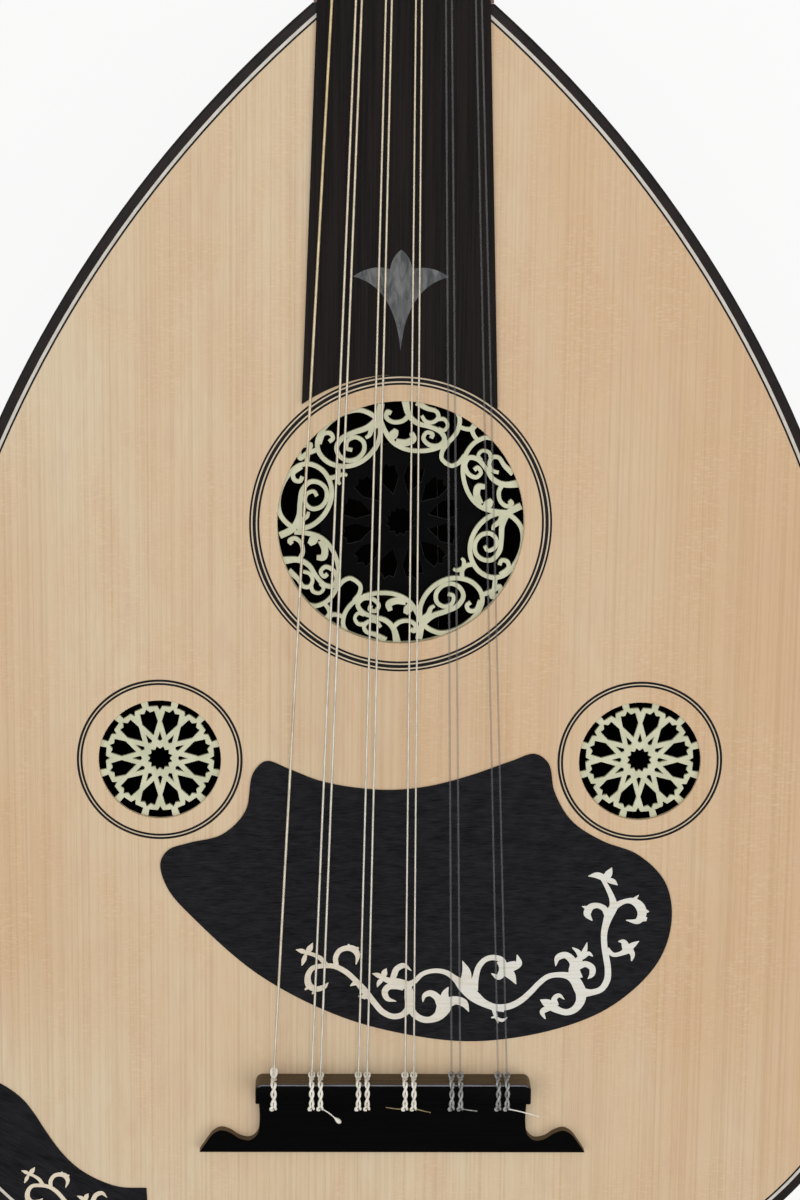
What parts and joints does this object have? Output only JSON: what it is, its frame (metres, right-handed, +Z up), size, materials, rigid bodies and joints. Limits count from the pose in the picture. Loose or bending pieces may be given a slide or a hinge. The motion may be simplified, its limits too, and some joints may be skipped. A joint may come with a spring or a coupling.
{
  "type": "oud",
  "caption": "Short-necked lute with a staved bowl, pierced rosettes, a bent-back pegbox with friction pegs and paired strings tied to a low bridge.",
  "frame": {"origin": "middle of the box of the whole instrument, at the level that its bowl and its pegbox tip lie on", "axes": "+Z up out of the soundboard, +Y along the strings from the bridge to the nut, +X towards the treble side"},
  "size_m": [0.3666, 0.8368, 0.1953],
  "materials": {
    "soundboard_spruce": "satin varnished spruce with fine lengthwise grain",
    "edge_black": "polished black wood",
    "rosette_pale": "satin pale greenish wood, pierced",
    "rosette_black": "matte black wood",
    "guard_black": "matte black wood with crosswise grain",
    "vine_pale": "satin pale veneer",
    "bridge_black": "polished black wood",
    "fingerboard_black": "satin black wood with fine lengthwise grain",
    "inlay_pearl": "polished grey shell",
    "neck_wood": "satin dark brown wood",
    "bowl_walnut": "glossy varnished brown wood",
    "inner_spruce": "bare spruce",
    "inner_block": "bare softwood",
    "nut_bone": "polished bone",
    "peg_wood": "polished black wood",
    "string_gold": "wound, golden",
    "string_silver": "wound, silvery",
    "string_nylon": "clear grey nylon"
  },
  "bodies": {
    "body": {"arm_guard": "guard_black", "arm_guard_vine": "vine_pale", "brace_1": "inner_spruce", "brace_2": "inner_spruce", "brace_3": "inner_spruce", "brace_4": "inner_spruce", "bridge": "bridge_black", "edge_binding": "edge_black", "end_clasp": "edge_black", "fingerboard": "fingerboard_black", "fingerboard_inlay": "inlay_pearl", "main_rosette": "rosette_pale", "neck": "neck_wood", "neck_block": "inner_block", "nut": "nut_bone", "pegbox_back": "neck_wood", "pegbox_cheek_bass": "neck_wood", "pegbox_cheek_treble": "neck_wood", "pickguard": "guard_black", "pickguard_vine": "vine_pale", "rib_1": "bowl_walnut", "rib_10": "bowl_walnut", "rib_11": "bowl_walnut", "rib_12": "bowl_walnut", "rib_13": "bowl_walnut", "rib_2": "bowl_walnut", "rib_3": "bowl_walnut", "rib_4": "bowl_walnut", "rib_5": "bowl_walnut", "rib_6": "bowl_walnut", "rib_7": "bowl_walnut", "rib_8": "bowl_walnut", "rib_9": "bowl_walnut", "rosette_centre": "rosette_black", "small_rosette_bass": "rosette_pale", "small_rosette_treble": "rosette_pale", "soundboard": "soundboard_spruce", "string_1": "string_gold", "string_10": "string_nylon", "string_11": "string_nylon", "string_2": "string_silver", "string_3": "string_silver", "string_4": "string_silver", "string_5": "string_silver", "string_6": "string_silver", "string_7": "string_silver", "string_8": "string_nylon", "string_9": "string_nylon", "tail_block": "inner_block"},
    "peg_body_1": {"peg_1": "peg_wood"},
    "peg_body_2": {"peg_2": "peg_wood"},
    "peg_body_3": {"peg_3": "peg_wood"},
    "peg_body_4": {"peg_4": "peg_wood"},
    "peg_body_5": {"peg_5": "peg_wood"},
    "peg_body_6": {"peg_6": "peg_wood"},
    "peg_body_7": {"peg_7": "peg_wood"},
    "peg_body_8": {"peg_8": "peg_wood"},
    "peg_body_9": {"peg_9": "peg_wood"},
    "peg_body_10": {"peg_10": "peg_wood"},
    "peg_body_11": {"peg_11": "peg_wood"}
  },
  "joints": [
    {"name": "peg_1_turn", "type": "hinge", "parent": "body", "child": "peg_body_1", "pos_m": [0, 0.2777, 0.15579], "axis": [-1, 0, 0], "continuous": true},
    {"name": "peg_2_turn", "type": "hinge", "parent": "body", "child": "peg_body_2", "pos_m": [0, 0.28801, 0.14276], "axis": [1, 0, 0], "continuous": true},
    {"name": "peg_3_turn", "type": "hinge", "parent": "body", "child": "peg_body_3", "pos_m": [0, 0.29845, 0.12985], "axis": [-1, 0, 0], "continuous": true},
    {"name": "peg_4_turn", "type": "hinge", "parent": "body", "child": "peg_body_4", "pos_m": [0, 0.30902, 0.11706], "axis": [1, 0, 0], "continuous": true},
    {"name": "peg_5_turn", "type": "hinge", "parent": "body", "child": "peg_body_5", "pos_m": [0, 0.31973, 0.10437], "axis": [-1, 0, 0], "continuous": true},
    {"name": "peg_6_turn", "type": "hinge", "parent": "body", "child": "peg_body_6", "pos_m": [0, 0.33058, 0.0918], "axis": [1, 0, 0], "continuous": true},
    {"name": "peg_7_turn", "type": "hinge", "parent": "body", "child": "peg_body_7", "pos_m": [0, 0.34155, 0.07935], "axis": [-1, 0, 0], "continuous": true},
    {"name": "peg_8_turn", "type": "hinge", "parent": "body", "child": "peg_body_8", "pos_m": [0, 0.35267, 0.067], "axis": [1, 0, 0], "continuous": true},
    {"name": "peg_9_turn", "type": "hinge", "parent": "body", "child": "peg_body_9", "pos_m": [0, 0.36391, 0.05478], "axis": [-1, 0, 0], "continuous": true},
    {"name": "peg_10_turn", "type": "hinge", "parent": "body", "child": "peg_body_10", "pos_m": [0, 0.37529, 0.04266], "axis": [1, 0, 0], "continuous": true},
    {"name": "peg_11_turn", "type": "hinge", "parent": "body", "child": "peg_body_11", "pos_m": [0, 0.38681, 0.03066], "axis": [-1, 0, 0], "continuous": true}
  ]
}
